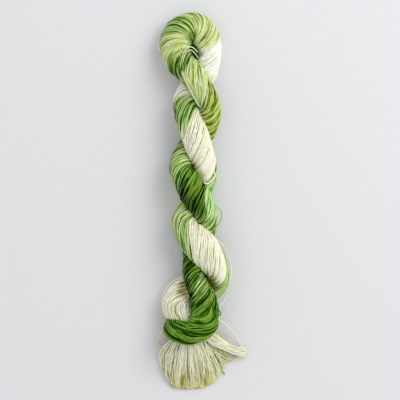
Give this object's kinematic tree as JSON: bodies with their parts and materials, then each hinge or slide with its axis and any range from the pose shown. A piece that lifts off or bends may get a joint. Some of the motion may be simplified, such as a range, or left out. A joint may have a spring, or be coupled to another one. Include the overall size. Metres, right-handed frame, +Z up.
{
  "type": "hank of embroidery floss",
  "caption": "Hank of variegated green and cream embroidery floss, twisted and folded, closed by its own band round the neck, with a looped end.",
  "frame": {"origin": "middle of the hank's outline, on the surface it lies on", "axes": "+Y along the hank towards its round folded head, +X to the side where the small lock is pulled out, +Z up"},
  "size_m": [0.0268, 0.1135, 0.0119],
  "materials": {
    "green_floss": "mercerised cotton, soft sheen",
    "cream_floss": "mercerised cotton, soft sheen"
  },
  "bodies": {
    "root": {"hank": "green_floss", "looped_end": "cream_floss"}
  },
  "joints": []
}
